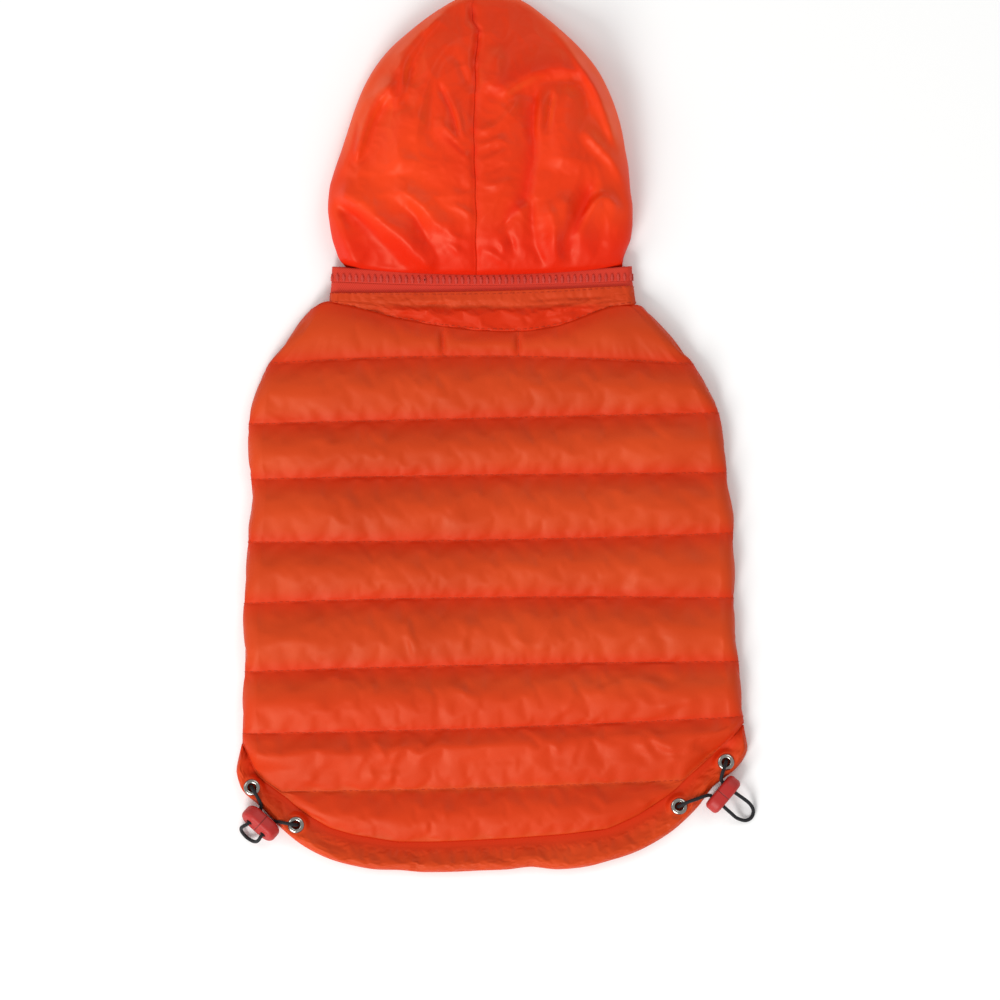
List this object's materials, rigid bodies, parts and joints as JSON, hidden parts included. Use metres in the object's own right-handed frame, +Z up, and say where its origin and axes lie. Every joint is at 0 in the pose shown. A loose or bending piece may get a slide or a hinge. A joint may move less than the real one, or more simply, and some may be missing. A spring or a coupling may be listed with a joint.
{
  "type": "dog winter coat",
  "caption": "Channel-quilted dog coat with a zip-on hood, laid flat with its back up, with a drawcord and cord lock at each rear corner.",
  "frame": {"origin": "on the surface that the coat lies on, under the middle of its outline", "axes": "+Y from the tail to the hood, +Z up out of the coat's back, +X to the right as seen from above with the hood at the top"},
  "size_m": [0.2603, 0.4404, 0.0283],
  "materials": {
    "quilted_cloth": "down-proof nylon with a soft satin sheen, quilted in wide channels",
    "hood_cloth": "unpadded down-proof nylon, smooth and slightly shiny",
    "zip_tape": "woven polyester zip tape, matt",
    "zip_teeth": "moulded zip teeth in the cloth's colour",
    "eyelet_metal": "pressed brass, nickel plated",
    "cord_lock": "moulded, smooth, in the cloth's colour",
    "elastic_cord": "braided round elastic, matt black"
  },
  "bodies": {
    "root": {"hood_left": "hood_cloth", "hood_right": "hood_cloth", "zip_chain": "zip_teeth", "zip_tape": "zip_tape", "collar": "quilted_cloth", "back_panel": "quilted_cloth", "belly_panel": "quilted_cloth", "belly_casing": "quilted_cloth", "hem_casing": "quilted_cloth", "eyelet_left_upper": "eyelet_metal", "eyelet_left_lower": "eyelet_metal", "eyelet_right_upper": "eyelet_metal", "eyelet_right_lower": "eyelet_metal", "cord_lock_left": "cord_lock", "cord_lock_right": "cord_lock", "drawcord_left": "elastic_cord", "drawcord_right": "elastic_cord"}
  },
  "joints": []
}
